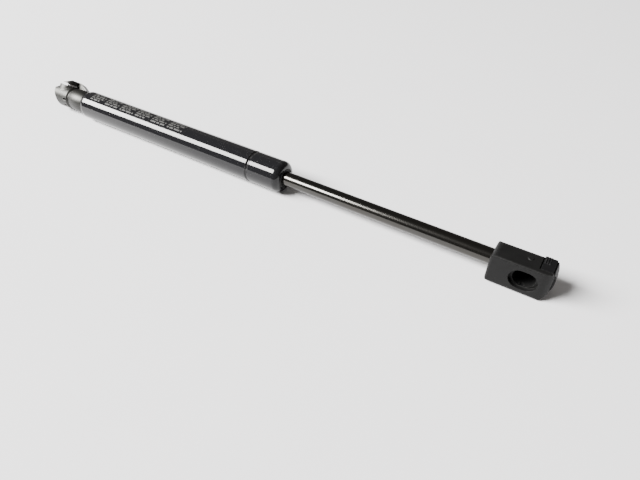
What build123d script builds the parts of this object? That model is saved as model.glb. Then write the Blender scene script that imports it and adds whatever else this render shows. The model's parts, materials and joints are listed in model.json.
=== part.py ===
from build123d import *
import math
import os

# Gas strut with a ball socket at each end, lying on its side and fully extended.
# The origin is the centre of the ball seat at the tube's closed end.
# +X runs along the strut to the rod end, +Z is up. All sizes are millimetres.

# ---- driving dimensions -------------------------------------------------------------
ball_spacing = 320.0          # ball centre to ball centre, extended
ball_bore_radius = 5.1        # seat for a 10 mm ball stud

tube_radius = 9.0
tube_wall = 1.2
tube_start = 21.5             # closed end of the tube
tube_end = 186.9              # rod end of the tube
closed_edge = 4.5             # radius of the rolled-in closed end
open_edge = 3.6               # radius of the rolled-in rod end
bead_position = 165.6
bead_half_width = 1.1
bead_depth = 0.7

rod_radius = 4.0
rod_tail = 152.0              # inner end of the rod
rod_shoulder = 161.6          # the piston stack sits against this
rod_seat = 305.3              # the rod bottoms in its socket here
rod_thread_end = 311.0
rod_thread_radius = 3.0
journal_radius = 2.5          # thin end that carries the piston stack
running_gap = 0.05
assembly_gap = 0.05           # between pieces of one body
press_gap = 0.02              # between pressed pieces

block_start = 303.8           # rod-end socket block
block_end = 332.4
block_front = -7.8
block_back = 5.8
block_top = 7.6
block_bottom = -9.0           # level with the tube, so the strut lies flat
block_bulge = 2.2             # how far the nose bulges past its top corner
seat_depth = -0.6             # the ball centre sits this far in front of the rod's axis
seat_level = -0.4             # and this far above it
mouth_slot_length = 13.0      # oval recess round the mouth
mouth_slot_height = 10.6
mouth_slot_depth = 2.0
insert_radius = 4.9
insert_end = 312.6

safety_low = -5.1             # the safety clip is a plate between these two Y values
safety_high = -3.5
safety_gap = 0.12             # round the sliding safety clip
leg_inner = 5.6
leg_outer = 6.8
leg_tip = 314.5
bridge_start = 326.2
pad_start = 324.9             # thumb pad on top
pad_back = 4.2
rib_front = -0.6              # the pad's ribs run from here to its back
pad_thickness = 1.0
notch_width = 0.6             # finger groove in front of the thumb pad

slot_bearing = 0.0            # screwdriver slot: degrees up from straight to the front
slot_turn = 75.0              # degrees from the strut's axis
slot_position = 5.2
slot_length = 6.2
slot_width = 3.0
slot_depth = 5.5

mouth_tilt = 40.0             # mouth of the tube-end socket, degrees back from straight up
mouth_height = 11.1
neck_radius = 7.3
head_reach = 9.4              # half width of the head along the strut, at its shoulder
shoulder_height = 2.9
collar_radius = 7.1
collar_height = 6.6
rim_radius = 6.1
clip_groove_radius = 5.6
clip_groove_top = 8.3
notch_bearing = 233.0         # the rim is cut away here, in degrees about the mouth's axis
gusset_top = 8.6              # web from the rim down to the neck
gusset_reach = 16.6

# ---- derived dimensions --------------------------------------------------------------
bore_radius = tube_radius - tube_wall
fit_radius = bore_radius - assembly_gap
stack_hole = rod_radius + running_gap
clip_end = block_end - 1.1
pad_floor = block_top - pad_thickness
tilt = math.radians(mouth_tilt)
mouth_axis = Vector(0, math.sin(tilt), math.cos(tilt))
side_axis = Vector(1, 0, 0).cross(mouth_axis)
head_plane = Plane(origin=(0, 0, 0), x_dir=(1, 0, 0), z_dir=side_axis)
head_axis = Axis((0, 0, 0), mouth_axis)
notch_turn = math.radians(notch_bearing)
notch_way = Vector(1, 0, 0) * math.cos(notch_turn) - side_axis * math.sin(notch_turn)

os.makedirs("parts", exist_ok=True)


def save(piece, label):
    """Label a finished piece and write it as its own STEP file."""
    piece.part.label = label
    export_step(piece.part, f"parts/{label}.step")


def turned(label, outline):
    """A piece turned about the strut's axis; the outline is (along, radius) points."""
    with BuildPart() as piece:
        with BuildSketch(Plane.XZ):
            with BuildLine():
                Polyline(*outline, close=True)
            make_face()
        revolve(axis=Axis.X)
    save(piece, label)


def ring(label, start, end, inner, outer):
    """A plain washer or bush from start to end along the axis."""
    turned(label, [(start, inner), (end, inner), (end, outer), (start, outer)])


def torus_ring(label, position, centre_radius, wire_radius):
    """A round-section ring such as an O-ring."""
    with BuildPart() as piece:
        with BuildSketch(Plane.XZ):
            with Locations((position, centre_radius)):
                Circle(wire_radius)
        revolve(axis=Axis.X)
    save(piece, label)


# ---- tube and what it holds ------------------------------------------------------------
def pressure_tube():
    left = bead_position - bead_half_width
    right = bead_position + bead_half_width
    closed_lip = tube_radius - closed_edge
    open_lip = tube_radius - open_edge
    closed_roll = tube_start + closed_edge
    open_roll = tube_end - open_edge
    with BuildPart() as piece:
        with BuildSketch(Plane.XZ):
            with BuildLine():
                RadiusArc((tube_start, closed_lip), (closed_roll, tube_radius), closed_edge)
                Line((closed_roll, tube_radius), (left, tube_radius))
                ThreePointArc(
                    (left, tube_radius),
                    (bead_position, tube_radius - bead_depth),
                    (right, tube_radius),
                )
                Line((right, tube_radius), (open_roll, tube_radius))
                RadiusArc((open_roll, tube_radius), (tube_end, open_lip), open_edge)
                Line((tube_end, open_lip), (tube_end - tube_wall, open_lip))
                RadiusArc(
                    (tube_end - tube_wall, open_lip),
                    (open_roll, bore_radius),
                    tube_wall - open_edge,
                )
                Line((open_roll, bore_radius), (right, bore_radius))
                ThreePointArc(
                    (right, bore_radius),
                    (bead_position, bore_radius - bead_depth),
                    (left, bore_radius),
                )
                Line((left, bore_radius), (closed_roll, bore_radius))
                RadiusArc(
                    (closed_roll, bore_radius),
                    (tube_start + tube_wall, closed_lip),
                    tube_wall - closed_edge,
                )
                Line((tube_start + tube_wall, closed_lip), (tube_start, closed_lip))
            make_face()
        revolve(axis=Axis.X)
    save(piece, "pressure_tube")


def base_plug():
    stud_radius = 4.0
    stud_tip = 9.6
    stud_chamfer = 0.6
    hub_radius = tube_radius - closed_edge - assembly_gap
    cone_start = tube_start + tube_wall + assembly_gap
    cone_end = tube_start + closed_edge + assembly_gap
    groove_start = 28.0
    groove_end = 30.6
    groove_radius = 5.9
    plug_end = 33.0
    plug_chamfer = 0.8
    turned(
        "base_plug",
        [
            (stud_tip, 0),
            (stud_tip, stud_radius - stud_chamfer),
            (stud_tip + stud_chamfer, stud_radius),
            (tube_start, stud_radius),
            (tube_start, hub_radius),
            (cone_start, hub_radius),
            (cone_end, fit_radius - assembly_gap),
            (cone_end, fit_radius),
            (groove_start, fit_radius),
            (groove_start, groove_radius),
            (groove_end, groove_radius),
            (groove_end, fit_radius),
            (plug_end - plug_chamfer, fit_radius),
            (plug_end, fit_radius - plug_chamfer),
            (plug_end, 0),
        ],
    )
    seal_wire = 0.9
    torus_ring("base_plug_seal", (groove_start + groove_end) / 2, fit_radius - seal_wire, seal_wire)


def seal_stack():
    """Washer, seal, backup washer, guide and wiper, in order from the bead to the tube's end."""
    washer_start = bead_position + bead_half_width + assembly_gap
    washer_end = washer_start + 1.0
    washer_hole = rod_radius + 0.3
    ring("bead_stop_washer", washer_start, washer_end, washer_hole, fit_radius)
    seal_start = washer_end + assembly_gap
    seal_end = seal_start + 5.0
    seal_floor = seal_start + 2.6       # bottom of the groove behind the lip
    seal_skirt = fit_radius - 1.1
    lip_back = stack_hole + 0.9
    lip_relief = 0.1
    turned(
        "rod_seal",
        [
            (seal_start, stack_hole),
            (seal_end, stack_hole + lip_relief),
            (seal_end, fit_radius),
            (seal_start, fit_radius),
            (seal_start, seal_skirt),
            (seal_floor, seal_skirt),
            (seal_floor, lip_back),
            (seal_start, lip_back),
        ],
    )
    spring_wire = 0.4
    spring_offset = 1.0
    spring_centre = lip_back + assembly_gap + spring_wire
    torus_ring("seal_garter_spring", seal_start + spring_offset, spring_centre, spring_wire)
    backup_start = seal_end + assembly_gap
    backup_end = backup_start + 0.8
    backup_hole = rod_radius + 0.2
    ring("seal_backup_washer", backup_start, backup_end, backup_hole, fit_radius)
    guide_start = backup_end + assembly_gap
    guide_end = guide_start + 7.6
    guide_chamfer = 0.4
    turned(
        "rod_guide",
        [
            (guide_start, stack_hole),
            (guide_end, stack_hole),
            (guide_end, fit_radius - guide_chamfer),
            (guide_end - guide_chamfer, fit_radius),
            (guide_start + guide_chamfer, fit_radius),
            (guide_start, fit_radius - guide_chamfer),
        ],
    )
    wiper_start = guide_end + assembly_gap
    wiper_hollow = 0.4
    open_lip = tube_radius - open_edge
    lip_face = tube_end - tube_wall - assembly_gap
    nose = tube_end + 0.1
    nose_chamfer = 0.3
    collar = open_lip - assembly_gap
    turned(
        "rod_wiper",
        [
            (wiper_start, stack_hole + wiper_hollow),
            (nose, stack_hole),
            (nose, collar - nose_chamfer),
            (nose - nose_chamfer, collar),
            (lip_face, collar),
            (lip_face, open_lip),
            (tube_end - open_edge, fit_radius),
            (wiper_start, fit_radius),
        ],
    )


# ---- rod and piston --------------------------------------------------------------------
def piston_rod():
    thread_chamfer = 0.5
    with BuildPart() as piece:
        with BuildSketch(Plane.XZ):
            with BuildLine():
                Polyline(
                    (rod_tail, 0),
                    (rod_tail, journal_radius),
                    (rod_shoulder, journal_radius),
                    (rod_shoulder, rod_radius),
                    (rod_seat, rod_radius),
                    (rod_seat, rod_thread_radius),
                    (rod_thread_end - thread_chamfer, rod_thread_radius),
                    (rod_thread_end, rod_thread_radius - thread_chamfer),
                    (rod_thread_end, 0),
                    close=True,
                )
            make_face()
        revolve(axis=Axis.X)
    save(piece, "piston_rod")


def piston_stack():
    """Rivet, washer, valve disc, piston with its ring, washer and rubber buffer."""
    stack_gap = 0.1
    hole = journal_radius + press_gap
    rivet_start = rod_tail + 0.3
    rivet_end = rivet_start + 1.6
    rivet_radius = 4.0
    ring("piston_rivet", rivet_start, rivet_end, hole, rivet_radius)
    back_start = rivet_end + stack_gap
    back_end = back_start + 0.9
    back_radius = 5.6
    ring("piston_back_washer", back_start, back_end, hole, back_radius)
    valve_start = back_end + stack_gap
    valve_end = valve_start + 0.4
    valve_radius = 6.6
    ring("piston_valve_disc", valve_start, valve_end, hole, valve_radius)
    body_start = valve_end + stack_gap
    body_end = body_start + 5.0
    body_radius = 7.3
    groove_start = body_start + 1.6
    groove_end = groove_start + 2.4
    groove_floor = 5.6
    turned(
        "piston_body",
        [
            (body_start, hole),
            (body_end, hole),
            (body_end, body_radius),
            (groove_end, body_radius),
            (groove_end, groove_floor),
            (groove_start, groove_floor),
            (groove_start, body_radius),
            (body_start, body_radius),
        ],
    )
    ring_side_gap = 0.06
    ring_inner = groove_floor + ring_side_gap
    ring_outer = bore_radius - 0.03
    ring("piston_ring", groove_start + ring_side_gap, groove_end - ring_side_gap, ring_inner, ring_outer)
    front_start = body_end + stack_gap
    front_end = front_start + 0.9
    front_radius = 6.0
    ring("piston_front_washer", front_start, front_end, hole, front_radius)
    buffer_start = rod_shoulder + 0.2
    buffer_end = buffer_start + 1.4
    buffer_radius = 6.4
    ring("rod_buffer", buffer_start, buffer_end, rod_radius + press_gap, buffer_radius)


# ---- tube-end socket -------------------------------------------------------------------
def screwdriver_slot_plane():
    """Plane that touches the neck's roundness at the slot, with its x along the slot."""
    around = math.radians(slot_bearing)
    outward = Vector(0, -math.cos(around), math.sin(around))
    along = Vector(1, 0, 0)
    down = outward.cross(along)
    turn = math.radians(slot_turn)
    run = along * math.cos(turn) + down * math.sin(turn)
    return Plane(origin=along * slot_position + outward * neck_radius, x_dir=run, z_dir=outward)


def tube_socket_body():
    trunk_radius = neck_radius + 0.2      # the head is trimmed to this about the strut's axis
    head_bottom = 7.7
    drum_end = 8.3            # the head's drum meets the neck in a crease here
    drum_edge = 1.3
    crease_radius = 6.7
    neck_crown = 7.6
    neck_end = tube_start - 0.1
    neck_end_radius = 6.9
    shelf_height = 4.9
    rim_chamfer = 0.3
    stud_hole_start = 9.2
    stud_hole_radius = 4.05
    mouth_flare = 0.55
    relief_height = 8.0           # of the rim's slope, at the rim's edge
    relief_start = 0.5            # distance of the slope's top from the mouth's axis
    notch_floor = 2.6             # distance of the notch's floor from the mouth's axis
    web_root = 3.0
    web_half_width = 4.4
    web_taper = 12
    over = 1.0                    # tools reach this far outside the piece
    with BuildPart() as piece:
        # head: a dome about the mouth's axis, trimmed to the neck's roundness
        with BuildSketch(head_plane):
            with BuildLine():
                Line((0, -head_bottom), (0, shelf_height))
                Line((0, shelf_height), (collar_radius, shelf_height))
                Line((collar_radius, shelf_height), (head_reach, shoulder_height))
                Spline(
                    (head_reach, shoulder_height),
                    (8.4, -2.1),
                    (6.5, -4.9),
                    (3.8, -7.1),
                    (0, -head_bottom),
                )
            make_face()
        revolve(axis=head_axis)
        with BuildSketch(Plane.YZ.offset(-head_reach - over)):
            Circle(trunk_radius)
        extrude(amount=2 * (head_reach + over), mode=Mode.INTERSECT)
        # drum behind the dome, then the crowned neck up to the tube
        with BuildSketch(Plane.XZ):
            with BuildLine():
                Line((0, 0), (0, trunk_radius))
                Line((0, trunk_radius), (drum_end - drum_edge, trunk_radius))
                Line((drum_end - drum_edge, trunk_radius), (drum_end, crease_radius))
                ThreePointArc(
                    (drum_end, crease_radius),
                    ((drum_end + neck_end) / 2, neck_crown),
                    (neck_end, neck_end_radius),
                )
                Line((neck_end, neck_end_radius), (neck_end, 0))
                Line((neck_end, 0), (0, 0))
            make_face()
        revolve(axis=Axis.X)
        # web from the rim down to the neck
        with BuildSketch(head_plane):
            with BuildLine():
                Polyline(
                    (0, web_root),
                    (0, mouth_height),
                    (gusset_top, mouth_height),
                    (gusset_reach, collar_radius + press_gap),
                    (gusset_reach + over, neck_radius - over),
                    (gusset_reach + over, web_root),
                    close=True,
                )
            make_face()
        extrude(amount=web_half_width, both=True, taper=web_taper)
        # tower round the mouth
        with BuildSketch(head_plane):
            with BuildLine():
                Polyline(
                    (0, 0),
                    (collar_radius, 0),
                    (collar_radius, collar_height),
                    (clip_groove_radius, collar_height),
                    (clip_groove_radius, clip_groove_top),
                    (rim_radius, clip_groove_top),
                    (rim_radius, mouth_height - rim_chamfer),
                    (rim_radius - rim_chamfer, mouth_height),
                    (0, mouth_height),
                    close=True,
                )
            make_face()
        revolve(axis=head_axis)
        # sloped relief on one side of the rim
        with BuildSketch(Plane(origin=(0, 0, 0), x_dir=notch_way, z_dir=notch_way.cross(mouth_axis))):
            with BuildLine():
                Polyline(
                    (rim_radius + over, relief_height),
                    (rim_radius, relief_height),
                    (relief_start, mouth_height),
                    (relief_start, mouth_height + over),
                    (rim_radius + over, mouth_height + over),
                    close=True,
                )
            make_face()
        extrude(amount=rim_radius, both=True, mode=Mode.SUBTRACT)
        # ball seat
        seat_corner = ball_bore_radius * math.sqrt(0.5)
        with BuildSketch(head_plane):
            with BuildLine():
                Line((0, -ball_bore_radius), (0, mouth_height + over))
                Line((0, mouth_height + over), (ball_bore_radius + over, mouth_height + over))
                Line(
                    (ball_bore_radius + over, mouth_height + over),
                    (ball_bore_radius, mouth_height - mouth_flare),
                )
                Line((ball_bore_radius, mouth_height - mouth_flare), (ball_bore_radius, 0))
                ThreePointArc((ball_bore_radius, 0), (seat_corner, -seat_corner), (0, -ball_bore_radius))
            make_face()
        revolve(axis=head_axis, mode=Mode.SUBTRACT)
        # notch across one side, where the wire clip reaches the ball
        with BuildSketch(Plane(origin=mouth_axis * collar_height, x_dir=notch_way, z_dir=mouth_axis)):
            with Locations((notch_floor, 0)):
                Rectangle(collar_radius, 2 * collar_radius, align=(Align.MIN, Align.CENTER))
        extrude(amount=clip_groove_top - collar_height, mode=Mode.SUBTRACT)
        # groove of the wire clip, carried through the web
        with BuildSketch(Plane(origin=mouth_axis * collar_height, x_dir=(1, 0, 0), z_dir=mouth_axis)):
            Circle(collar_radius + over)
            Circle(clip_groove_radius, mode=Mode.SUBTRACT)
        extrude(amount=clip_groove_top - collar_height, mode=Mode.SUBTRACT)
        # slot for a screwdriver, low on the front
        with BuildSketch(screwdriver_slot_plane()):
            SlotOverall(slot_length, slot_width)
        extrude(amount=-slot_depth, mode=Mode.SUBTRACT)
        # threaded hole for the plug's stud
        with BuildSketch(Plane.YZ.offset(stud_hole_start)):
            Circle(stud_hole_radius)
        extrude(amount=neck_end - stud_hole_start + over, mode=Mode.SUBTRACT)
    save(piece, "tube_socket_body")


def tube_socket_clip():
    thickness = 1.2
    inner = clip_groove_radius + assembly_gap
    outer = inner + 1.4
    low = (collar_height + clip_groove_top - thickness) / 2
    half_opening = math.radians(75)
    reach = 4 * outer
    start = (reach * math.cos(half_opening), reach * math.sin(half_opening))
    end = (start[0], -start[1])
    with BuildPart() as piece:
        with BuildSketch(Plane(origin=mouth_axis * low, x_dir=notch_way, z_dir=mouth_axis)):
            Circle(outer)
            Circle(inner, mode=Mode.SUBTRACT)
            with BuildLine():
                Polyline((0, 0), start, end, close=True)
            make_face(mode=Mode.SUBTRACT)
        extrude(amount=thickness)
    save(piece, "tube_socket_clip")


# ---- rod-end socket --------------------------------------------------------------------
def rod_socket_body():
    front_shank = 1.2
    front_nose = 6.0
    back_nose = 4.5
    back_shank = 2.6
    back_edge = 4.0
    shank_corner = 3.0
    top_front_edge = 0.9
    bottom_front_edge = 2.0
    chin_start = block_end - 8.0      # the nose curves up from the bottom here
    chin_end = block_end - 1.0
    chin_top = -4.5
    point_radius = 1.3                # moulding point on top
    point_height = 0.35
    point_place = (ball_spacing - 0.4, -0.9)
    point_taper = 30
    over = 1.0                        # tools reach this far outside the block
    depth = block_back - block_front
    with BuildPart() as piece:
        with BuildSketch(Plane.XY.offset(block_bottom)):
            with BuildLine():
                FilletPolyline(
                    (block_start, block_front),
                    (block_end, block_front),
                    (block_end, block_back),
                    (block_start, block_back),
                    radius=[front_shank, front_nose, back_nose, back_shank],
                    close=True,
                )
            make_face()
        extrude(amount=block_top - block_bottom)
        # outline seen from the front, with the bulged nose
        with BuildSketch(Plane.XZ.offset(-block_back - over)):
            with BuildLine():
                Line((block_start + shank_corner, block_bottom), (chin_start, block_bottom))
                TangentArc((chin_start, block_bottom), (chin_end, chin_top), tangent=(1, 0))
                ThreePointArc(
                    (chin_end, chin_top),
                    (block_end, 0),
                    (block_end - block_bulge, block_top),
                )
                Line((block_end - block_bulge, block_top), (block_start + shank_corner, block_top))
                RadiusArc(
                    (block_start, block_top - shank_corner),
                    (block_start + shank_corner, block_top),
                    shank_corner,
                )
                Line((block_start, block_top - shank_corner), (block_start, block_bottom + shank_corner))
                RadiusArc(
                    (block_start + shank_corner, block_bottom),
                    (block_start, block_bottom + shank_corner),
                    shank_corner,
                )
            make_face()
        extrude(amount=depth + 2 * over, mode=Mode.INTERSECT)
        # outline seen along the strut: large corners at the back
        with BuildSketch(Plane.YZ.offset(block_start - over)):
            with BuildLine():
                FilletPolyline(
                    (block_front, block_bottom),
                    (block_back, block_bottom),
                    (block_back, block_top),
                    (block_front, block_top),
                    radius=[bottom_front_edge, back_edge, back_edge, top_front_edge],
                    close=True,
                )
            make_face()
        extrude(amount=block_end - block_start + 2 * over, mode=Mode.INTERSECT)
        # ball seat, open to the front
        seat_corner = ball_bore_radius * math.sqrt(0.5)
        wall = ball_spacing + ball_bore_radius
        with BuildSketch(Plane.XY.offset(seat_level)):
            with BuildLine():
                Line((ball_spacing, block_front - over), (wall, block_front - over))
                Line((wall, block_front - over), (wall, seat_depth))
                ThreePointArc(
                    (wall, seat_depth),
                    (ball_spacing + seat_corner, seat_depth + seat_corner),
                    (ball_spacing, seat_depth + ball_bore_radius),
                )
                Line((ball_spacing, seat_depth + ball_bore_radius), (ball_spacing, block_front - over))
            make_face()
        revolve(axis=Axis((ball_spacing, 0, seat_level), (0, 1, 0)), mode=Mode.SUBTRACT)
        # oval recess round its mouth
        with BuildSketch(Plane.XZ.offset(-block_front + over)):
            with Locations((ball_spacing, seat_level)):
                SlotOverall(mouth_slot_length, mouth_slot_height)
        extrude(amount=-mouth_slot_depth - over, mode=Mode.SUBTRACT)
        # pocket for the threaded insert and the rod
        with BuildSketch(Plane.YZ.offset(block_start - over)):
            Circle(insert_radius + assembly_gap)
        extrude(amount=insert_end + assembly_gap - block_start + over, mode=Mode.SUBTRACT)
        # channels for the safety clip's legs
        leg_middle = (leg_inner + leg_outer) / 2
        for side in (1, -1):
            with Locations((leg_tip - safety_gap, safety_low - safety_gap, side * leg_middle)):
                Box(
                    block_end - leg_tip + 2 * over,
                    safety_high - safety_low + 2 * safety_gap,
                    leg_outer - leg_inner + 2 * safety_gap,
                    align=(Align.MIN, Align.MIN, Align.CENTER),
                    mode=Mode.SUBTRACT,
                )
        # slot for its bridge, through the nose
        with Locations((bridge_start - safety_gap, safety_low - safety_gap, 0)):
            Box(
                block_end - bridge_start + 2 * over,
                safety_high - safety_low + 2 * safety_gap,
                2 * (leg_outer + safety_gap),
                align=(Align.MIN, Align.MIN, Align.CENTER),
                mode=Mode.SUBTRACT,
            )
        # recess in the top for the thumb pad, open towards the nose
        with Locations((pad_start - notch_width, safety_low - safety_gap, pad_floor - safety_gap)):
            Box(
                block_end - pad_start + notch_width + over,
                pad_back - safety_low + 2 * safety_gap,
                block_top,
                align=(Align.MIN, Align.MIN, Align.MIN),
                mode=Mode.SUBTRACT,
            )
        # moulding point on top
        with BuildSketch(Plane.XY.offset(block_top - press_gap)):
            with Locations(point_place):
                Circle(point_radius)
        extrude(amount=point_height + press_gap, taper=point_taper)
    save(piece, "rod_socket_body")


def rod_socket_insert():
    face = block_start + press_gap
    rod_stop = rod_seat + press_gap
    waist_start = block_start + 3.6
    waist_end = waist_start + 1.5
    waist_radius = insert_radius - 0.7
    turned(
        "rod_socket_insert",
        [
            (face, rod_radius + running_gap),
            (rod_stop, rod_radius + running_gap),
            (rod_stop, rod_thread_radius + running_gap),
            (insert_end, rod_thread_radius + running_gap),
            (insert_end, insert_radius),
            (waist_end, insert_radius),
            (waist_end, waist_radius),
            (waist_start, waist_radius),
            (waist_start, insert_radius),
            (face, insert_radius),
        ],
    )


def rod_socket_clip():
    rib_count = 3
    rib_height = 0.35
    rib_start = pad_start + 0.3
    rib_pitch = 1.0
    rib_root = block_top - 0.1
    low_corner = 3.4
    high_corner = 1.2
    inner_corner = 0.2
    leg_overlap = 1.0             # the legs run this far into the bridge
    thickness = safety_high - safety_low
    with BuildPart() as piece:
        # legs that hold the ball's neck
        for side in (1, -1):
            with Locations((leg_tip, safety_low, side * (leg_inner + leg_outer) / 2)):
                Box(
                    bridge_start + leg_overlap - leg_tip,
                    thickness,
                    leg_outer - leg_inner,
                    align=(Align.MIN, Align.MIN, Align.CENTER),
                )
        # bridge between them
        with BuildSketch(Plane.XZ.offset(-safety_high)):
            with BuildLine():
                FilletPolyline(
                    (bridge_start, -leg_outer),
                    (clip_end, -leg_outer),
                    (clip_end, leg_outer),
                    (bridge_start, leg_outer),
                    radius=[inner_corner, low_corner, high_corner, inner_corner],
                    close=True,
                )
            make_face()
        extrude(amount=thickness)
        # thumb pad with cross ribs
        with Locations((pad_start, safety_low, pad_floor)):
            Box(
                block_end - block_bulge - pad_start,
                pad_back - safety_low,
                pad_thickness,
                align=(Align.MIN, Align.MIN, Align.MIN),
            )
        for rib in range(rib_count):
            foot = rib_start + rib * rib_pitch
            with BuildSketch(Plane.XZ.offset(-pad_back)):
                with BuildLine():
                    Polyline(
                        (foot, rib_root),
                        (foot + rib_pitch / 2, block_top + rib_height),
                        (foot + rib_pitch, rib_root),
                        close=True,
                    )
                make_face()
            extrude(amount=pad_back - rib_front)
    save(piece, "rod_socket_clip")


pressure_tube()
base_plug()
seal_stack()
piston_rod()
piston_stack()
tube_socket_body()
tube_socket_clip()
rod_socket_body()
rod_socket_insert()
rod_socket_clip()
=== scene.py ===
import json
import math

import bpy
from mathutils import Matrix, Vector


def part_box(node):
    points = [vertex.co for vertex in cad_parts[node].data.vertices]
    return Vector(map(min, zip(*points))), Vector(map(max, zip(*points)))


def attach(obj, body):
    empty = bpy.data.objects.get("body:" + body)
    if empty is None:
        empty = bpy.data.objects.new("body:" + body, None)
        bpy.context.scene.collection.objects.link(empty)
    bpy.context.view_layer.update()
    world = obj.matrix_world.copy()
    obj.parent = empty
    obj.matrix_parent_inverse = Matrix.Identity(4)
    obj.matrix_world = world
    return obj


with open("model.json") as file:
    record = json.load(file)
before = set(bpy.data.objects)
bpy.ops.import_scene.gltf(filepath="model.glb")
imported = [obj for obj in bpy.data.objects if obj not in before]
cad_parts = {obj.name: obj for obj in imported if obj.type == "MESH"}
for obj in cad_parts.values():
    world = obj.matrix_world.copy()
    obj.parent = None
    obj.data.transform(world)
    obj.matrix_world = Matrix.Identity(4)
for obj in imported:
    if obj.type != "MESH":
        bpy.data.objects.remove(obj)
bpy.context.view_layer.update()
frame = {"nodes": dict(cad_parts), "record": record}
scene = bpy.context.scene
MM = 0.001
STRUT_MIDDLE = Vector((0.16, 0, 0))


# ---- camera, light and floor -----------------------------------------------------------
def place_camera():
    """Seen from above the rod end, looking back along the strut."""
    camera_data = bpy.data.cameras.new("camera")
    camera_data.sensor_width = 36.0
    camera_data.lens = 28.1
    camera = bpy.data.objects.new("camera", camera_data)
    scene.collection.objects.link(camera)
    position = Vector((325.7, -183.3, 160.4)) * MM
    forward = Vector((-0.3977, 0.6271, -0.6697)).normalized()
    right = forward.cross(Vector((0, 0, 1))).normalized()
    up = right.cross(forward)
    rotation = Matrix((right, up, -forward)).transposed()
    camera.matrix_world = Matrix.Translation(position) @ rotation.to_4x4()
    scene.camera = camera


def soft_light(name, direction, long_side, distance, size, power, color):
    """A rectangular light in the given direction from the middle of the strut."""
    outward = Vector(direction).normalized()
    along = Vector(long_side)
    along = (along - along.dot(outward) * outward).normalized()
    across = outward.cross(along)
    data = bpy.data.lights.new(name, "AREA")
    data.shape = "RECTANGLE"
    data.size, data.size_y = size
    data.energy = power
    data.color = color
    light = bpy.data.objects.new(name, data)
    scene.collection.objects.link(light)
    place = STRUT_MIDDLE + outward * distance
    rotation = Matrix((along, across, outward)).transposed()
    light.matrix_world = Matrix.Translation(place) @ rotation.to_4x4()


def light_studio():
    """A long soft window, up beyond the tube's end, and a dim, slightly warm surround."""
    soft_light(
        "window",
        direction=(-0.64, -0.45, 0.60),
        long_side=(0.344, -0.18, 0.23),
        distance=3.6,
        size=(2.4, 1.35),
        power=760,
        color=(1.0, 0.99, 0.97),
    )
    world = bpy.data.worlds.new("world")
    scene.world = world
    world.use_nodes = True
    surround = world.node_tree.nodes["Background"]
    surround.inputs["Color"].default_value = (1.0, 0.955, 0.91, 1)
    surround.inputs["Strength"].default_value = 0.22


# ---- materials -------------------------------------------------------------------------
BEVEL_SAMPLES = 6


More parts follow.
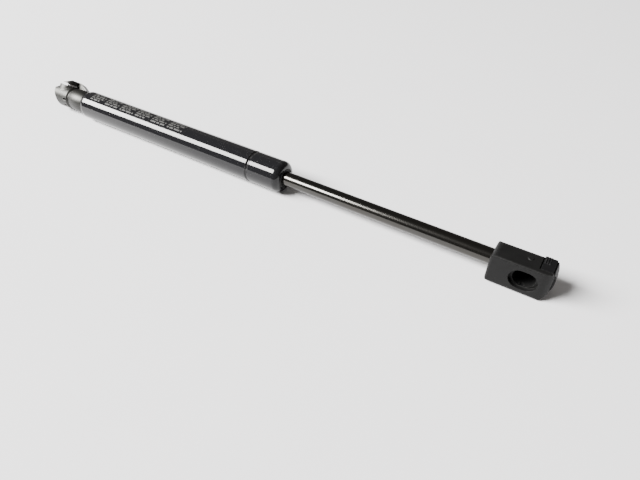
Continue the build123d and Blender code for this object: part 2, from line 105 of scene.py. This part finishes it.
class Finish:
    """A procedural material built up in layers on the object's own coordinates."""

    def __init__(self, name, color, roughness, metallic=0.0, ior=1.5, specular=0.5):
        self.material = bpy.data.materials.new(name)
        self.material.use_nodes = True
        self.nodes = self.material.node_tree.nodes
        self.links = self.material.node_tree.links
        self.shader = self.nodes["Principled BSDF"]
        self.shader.inputs["Metallic"].default_value = metallic
        self.shader.inputs["IOR"].default_value = ior
        self.shader.inputs["Specular IOR Level"].default_value = specular
        self.set_start("Base Color", (*color, 1.0))
        self.set_start("Roughness", roughness)
        self.coordinates = self.nodes.new("ShaderNodeTexCoord").outputs["Object"]
        self.height_normal = None

    def set_start(self, socket, value):
        self.shader.inputs[socket].default_value = value

    def noise(self, size, stretch=(1.0, 1.0, 1.0), detail=3.0, start=0.0):
        """Noise with features of the given size in mm; stretch lengthens them along an axis."""
        mapping = self.nodes.new("ShaderNodeMapping")
        mapping.inputs["Location"].default_value = (start, start, start)
        mapping.inputs["Scale"].default_value = [1.0 / (size * MM * along) for along in stretch]
        texture = self.nodes.new("ShaderNodeTexNoise")
        texture.inputs["Scale"].default_value = 1.0
        texture.inputs["Detail"].default_value = detail
        self.links.new(self.coordinates, mapping.inputs["Vector"])
        self.links.new(mapping.outputs["Vector"], texture.inputs["Vector"])
        return texture.outputs["Fac"]

    def window(self, source, low, high, to_low=0.0, to_high=1.0):
        """Map low..high of a source to to_low..to_high, clamped."""
        node = self.nodes.new("ShaderNodeMapRange")
        values = {"From Min": low, "From Max": high, "To Min": to_low, "To Max": to_high}
        for socket, value in values.items():
            node.inputs[socket].default_value = value
        self.links.new(source, node.inputs["Value"])
        return node.outputs["Result"]

    def product(self, first, second):
        node = self.nodes.new("ShaderNodeMath")
        node.operation = "MULTIPLY"
        self.links.new(first, node.inputs[0])
        self.links.new(second, node.inputs[1])
        return node.outputs["Value"]

    def edges(self, radius, low=0.01, high=0.12):
        """Bright on the edges of the shape, dark on its faces."""
        bevel = self.nodes.new("ShaderNodeBevel")
        bevel.samples = BEVEL_SAMPLES
        bevel.inputs["Radius"].default_value = radius * MM
        geometry = self.nodes.new("ShaderNodeNewGeometry")
        compare = self.nodes.new("ShaderNodeVectorMath")
        compare.operation = "DISTANCE"
        self.links.new(bevel.outputs["Normal"], compare.inputs[0])
        self.links.new(geometry.outputs["Normal"], compare.inputs[1])
        return self.window(compare.outputs["Value"], low, high)

    def tint(self, mask, color, amount):
        """Mix a colour in where the mask is bright."""
        node = self.nodes.new("ShaderNodeMix")
        node.data_type = "RGBA"
        socket = self.shader.inputs["Base Color"]
        if socket.is_linked:
            self.links.new(socket.links[0].from_socket, node.inputs["A"])
        else:
            node.inputs["A"].default_value = socket.default_value
        node.inputs["B"].default_value = (*color, 1.0)
        self.links.new(self.window(mask, 0.0, 1.0, 0.0, amount), node.inputs["Factor"])
        self.links.new(node.outputs["Result"], socket)

    def roughen(self, mask, amount):
        """Add to the roughness where the mask is bright."""
        node = self.nodes.new("ShaderNodeMath")
        node.operation = "ADD"
        socket = self.shader.inputs["Roughness"]
        if socket.is_linked:
            self.links.new(socket.links[0].from_socket, node.inputs[0])
        else:
            node.inputs[0].default_value = socket.default_value
        self.links.new(self.window(mask, 0.0, 1.0, 0.0, amount), node.inputs[1])
        self.links.new(node.outputs["Value"], socket)

    def relief(self, mask, height):
        """Raise the surface by up to height mm where the mask is bright."""
        node = self.nodes.new("ShaderNodeBump")
        node.inputs["Distance"].default_value = height * MM
        self.links.new(mask, node.inputs["Height"])
        if self.height_normal:
            self.links.new(self.height_normal, node.inputs["Normal"])
        self.height_normal = node.outputs["Normal"]
        self.links.new(self.height_normal, self.shader.inputs["Normal"])

    def soften(self, radius):
        """Round the sharp edges of the shape; comes before any relief."""
        node = self.nodes.new("ShaderNodeBevel")
        node.samples = BEVEL_SAMPLES
        node.inputs["Radius"].default_value = radius * MM
        self.height_normal = node.outputs["Normal"]
        self.links.new(self.height_normal, self.shader.inputs["Normal"])


# Noise stretched along the strut, and round it.
LONGWAYS = (90.0, 1.0, 1.0)
CROSSWAYS = (1.0, 60.0, 60.0)


def tube_paint():
    """Gloss black paint: orange peel, handling smears, hairline scratches and a little dust."""
    paint = Finish("tube_paint", (0.006, 0.006, 0.007), 0.055, ior=1.5, specular=0.33)
    paint.soften(0.15)
    paint.roughen(paint.window(paint.noise(22.0, (3, 1, 1)), 0.42, 0.68), 0.035)
    paint.relief(paint.noise(1.8, detail=1.5), 0.0022)
    scratches = paint.window(paint.noise(0.14, LONGWAYS, 2.0), 0.66, 0.76)
    patches = paint.window(paint.noise(14.0, start=3.0), 0.45, 0.62)
    hairlines = paint.product(scratches, patches)
    paint.tint(hairlines, (0.10, 0.10, 0.10), 0.5)
    paint.roughen(hairlines, 0.2)
    dust = paint.window(paint.noise(0.45, detail=2.0, start=7.0), 0.70, 0.78)
    paint.tint(dust, (0.35, 0.34, 0.32), 0.35)
    paint.roughen(dust, 0.4)
    worn = paint.product(paint.edges(0.35), paint.window(paint.noise(1.2, start=5.0), 0.45, 0.7))
    paint.tint(worn, (0.16, 0.155, 0.15), 0.45)
    return paint.material


def rod_steel():
    """Dark nitrided rod, polished round its girth, with a thin uneven film of oil."""
    steel = Finish("rod_steel", (0.064, 0.063, 0.060), 0.14, metallic=1.0)
    steel.soften(0.1)
    polish = steel.noise(0.09, CROSSWAYS, 2.0)
    steel.relief(polish, 0.0005)
    steel.roughen(polish, 0.04)
    film = steel.window(steel.noise(9.0, (4, 1, 1), start=2.0), 0.40, 0.66)
    steel.roughen(film, 0.05)
    steel.tint(film, (0.054, 0.048, 0.042), 0.5)
    specks = steel.window(steel.noise(0.35, detail=1.0, start=9.0), 0.72, 0.78)
    steel.tint(specks, (0.02, 0.018, 0.016), 0.7)
    return steel.material


def cast_zinc():
    """Satin die-cast zinc: fine grain, faint flow streaks, darker hollows and rubbed edges."""
    zinc = Finish("cast_zinc", (0.046, 0.046, 0.044), 0.36, metallic=1.0)
    zinc.soften(0.35)
    grain = zinc.noise(0.22, detail=4.0)
    zinc.relief(grain, 0.012)
    zinc.relief(zinc.noise(2.4, detail=2.0, start=4.0), 0.03)
    zinc.roughen(grain, 0.12)
    streaks = zinc.window(zinc.noise(1.6, (5, 1, 1), start=1.0), 0.38, 0.66)
    zinc.tint(streaks, (0.034, 0.034, 0.032), 0.5)
    pits = zinc.window(zinc.noise(0.5, detail=1.0, start=8.0), 0.68, 0.76)
    zinc.tint(pits, (0.022, 0.022, 0.021), 0.5)
    zinc.roughen(pits, 0.15)
    zinc.tint(zinc.edges(0.4), (0.10, 0.10, 0.096), 0.5)
    return zinc.material


def moulded_plastic(name, color, grain_size, grain_height, roughness):
    """Textured moulding: spark-eroded grain, glass-fibre streaks and scuffed edges; sizes in mm."""
    plastic = Finish(name, color, roughness, specular=0.14)
    plastic.soften(0.2)
    grain = plastic.noise(grain_size, detail=3.0)
    plastic.relief(grain, grain_height)
    plastic.relief(plastic.noise(5.0, detail=1.0, start=6.0), 0.03)
    plastic.roughen(grain, 0.12)
    fibres = plastic.window(plastic.noise(0.2, (14, 2, 2), start=2.0), 0.58, 0.72)
    lighter = [channel * 1.8 + 0.002 for channel in color]
    plastic.tint(fibres, lighter, 0.5)
    clouds = plastic.window(plastic.noise(6.0, start=3.0), 0.40, 0.65)
    plastic.tint(clouds, [channel * 1.35 for channel in color], 0.7)
    scuffed = plastic.product(plastic.edges(0.35), plastic.window(plastic.noise(0.9), 0.42, 0.62))
    plastic.tint(scuffed, [channel * 2.5 + 0.015 for channel in color], 0.5)
    return plastic.material


def turned_metal(name, color, roughness):
    """Lathe-turned metal: fine tool rings across the strut, small stains, bright edges."""
    metal = Finish(name, color, roughness, metallic=1.0)
    metal.soften(0.08)
    rings = metal.noise(0.12, CROSSWAYS, 1.0)
    metal.relief(rings, 0.004)
    metal.roughen(rings, 0.14)
    stains = metal.window(metal.noise(1.7, start=4.0), 0.45, 0.7)
    metal.tint(stains, [channel * 0.62 for channel in color], 0.6)
    metal.tint(metal.edges(0.15), [min(1.0, channel * 1.5) for channel in color], 0.6)
    return metal.material


def drawn_wire(name, color):
    """Spring wire: drawing lines along its length and heat-darkened patches."""
    wire = Finish(name, color, 0.24, metallic=1.0)
    wire.soften(0.25)
    lines = wire.noise(0.08, (12, 12, 1), 1.0)
    wire.relief(lines, 0.002)
    wire.roughen(lines, 0.12)
    heat = wire.window(wire.noise(2.5, start=5.0), 0.42, 0.68)
    wire.tint(heat, (0.30, 0.25, 0.19), 0.45)
    return wire.material


def seal_rubber():
    """Nitrile rubber: matt, with bloom and mould grain."""
    rubber = Finish("seal_rubber", (0.022, 0.022, 0.023), 0.62)
    rubber.relief(rubber.noise(0.16, detail=2.0), 0.006)
    bloom = rubber.window(rubber.noise(1.3, start=3.0), 0.45, 0.68)
    rubber.tint(bloom, (0.07, 0.07, 0.072), 0.5)
    rubber.roughen(bloom, 0.15)
    return rubber.material


def printed_ink():
    """Pale grey ink, thin and a little broken."""
    ink = Finish("printed_ink", (0.062, 0.062, 0.060), 0.42)
    broken = ink.window(ink.noise(0.35, detail=2.0), 0.52, 0.66)
    ink.tint(broken, (0.015, 0.015, 0.015), 0.8)
    ink.roughen(broken, -0.15)
    ink.relief(ink.noise(0.12, detail=2.0, start=2.0), 0.002)
    return ink.material


def floor_top():
    """Smooth white table top with very faint mottling."""
    table = Finish("floor_top", (0.80, 0.80, 0.815), 0.55, specular=0.2)
    mottle = table.window(table.noise(38.0, detail=4.0), 0.35, 0.70)
    table.tint(mottle, (0.775, 0.775, 0.80), 0.6)
    table.roughen(mottle, 0.08)
    table.relief(table.noise(0.9, detail=2.0, start=3.0), 0.002)
    return table.material


def dress_nodes():
    """Give every CAD node the finish of its material slot."""
    socket_black = (0.0040, 0.0040, 0.0040)
    clip_black = (0.0034, 0.0034, 0.0037)
    guide_grey = (0.09, 0.09, 0.10)
    wiper_black = (0.012, 0.012, 0.012)
    ring_cream = (0.55, 0.53, 0.47)
    finishes = {
        "tube_paint": tube_paint(),
        "rod_steel": rod_steel(),
        "cast_zinc": cast_zinc(),
        "socket_plastic": moulded_plastic("socket_plastic", socket_black, 0.3, 0.014, 0.46),
        "clip_plastic": moulded_plastic("clip_plastic", clip_black, 0.25, 0.010, 0.42),
        "guide_plastic": moulded_plastic("guide_plastic", guide_grey, 0.2, 0.006, 0.5),
        "wiper_plastic": moulded_plastic("wiper_plastic", wiper_black, 0.2, 0.006, 0.5),
        "ring_plastic": moulded_plastic("ring_plastic", ring_cream, 0.3, 0.004, 0.35),
        "plain_steel": turned_metal("plain_steel", (0.45, 0.45, 0.46), 0.26),
        "piston_aluminium": turned_metal("piston_aluminium", (0.70, 0.70, 0.72), 0.30),
        "insert_brass": turned_metal("insert_brass", (0.60, 0.44, 0.19), 0.26),
        "spring_steel": drawn_wire("spring_steel", (0.50, 0.50, 0.52)),
        "seal_rubber": seal_rubber(),
    }
    crease_angle = math.radians(30)
    slots = {part["node"]: part["material_slot"] for part in frame["record"]["subparts"]}
    for name, node in frame["nodes"].items():
        node.data.materials.clear()
        node.data.materials.append(finishes[slots[name]])
        for polygon in node.data.polygons:
            polygon.use_smooth = True
        node.data.set_sharp_from_angle(angle=crease_angle)


# ---- print on the tube -----------------------------------------------------------------
def curved_bar(mesh_data, along, around, radii):
    """Add a thin closed bar that follows the tube; around is in radians up from the front."""
    points, faces = mesh_data
    steps = 4
    base = len(points)
    for step in range(steps + 1):
        angle = around[0] + (around[1] - around[0]) * step / steps
        for radius in radii:
            for x in along:
                points.append((x, -radius * math.cos(angle), radius * math.sin(angle)))
    for step in range(steps):
        a = base + 4 * step
        b = a + 4
        faces.extend([(a, b, b + 1, a + 1), (a + 2, a + 3, b + 3, b + 2)])
        faces.extend([(a, a + 2, b + 2, b), (a + 1, b + 1, b + 3, a + 3)])
    last = base + 4 * steps
    faces.extend([(base, base + 1, base + 3, base + 2), (last, last + 2, last + 3, last + 1)])


def print_marks():
    """Six blocks of plain dashes along the top of the tube, with no lettering."""
    tube_low, tube_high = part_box("pressure_tube")
    radius = (tube_high[2] - tube_low[2]) / 2
    ink_reach = 0.02 * MM               # into the tube, and out of it
    radii = (radius - ink_reach, radius + ink_reach)
    block_count = 6
    block_length = 12.0 * MM
    block_gap = 2.0 * MM
    short_block = 0.7                   # every third row is this part of a block long
    margin = 10.0 * MM                  # from the tube's closed end
    row_count = 4
    first_row = math.radians(64)
    row_pitch = math.radians(11)
    row_height = math.radians(6.5)
    dash_gap = 0.9 * MM
    dash_lengths = (2.1 * MM, 3.4 * MM, 1.3 * MM, 2.7 * MM, 4.2 * MM)
    mesh_data = ([], [])
    count = 0
    for block in range(block_count):
        start = tube_low[0] + margin + block * (block_length + block_gap)
        for row in range(row_count):
            low = first_row + row * row_pitch
            x = start
            end = start + block_length * (1.0 if (block + row) % 3 else short_block)
            while x < end:
                length = min(dash_lengths[count % len(dash_lengths)], end - x)
                curved_bar(mesh_data, (x, x + length), (low, low + row_height), radii)
                x += length + dash_gap
                count += 1
    mesh = bpy.data.meshes.new("print_marks")
    mesh.from_pydata(mesh_data[0], [], mesh_data[1])
    mesh.materials.append(printed_ink())
    marks = bpy.data.objects.new("print_marks", mesh)
    scene.collection.objects.link(marks)
    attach(marks, "tube")


def lay_floor():
    """A white table top at the tube's lowest line."""
    half = 3.0
    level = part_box("pressure_tube")[0][2]
    outline = ((-half, -half), (half, -half), (half, half), (-half, half))
    corners = [(x, y, level) for x, y in outline]
    mesh = bpy.data.meshes.new("floor")
    mesh.from_pydata(corners, [], [(0, 1, 2, 3)])
    floor = bpy.data.objects.new("floor", mesh)
    scene.collection.objects.link(floor)
    mesh.materials.append(floor_top())


place_camera()
light_studio()
dress_nodes()
print_marks()
lay_floor()
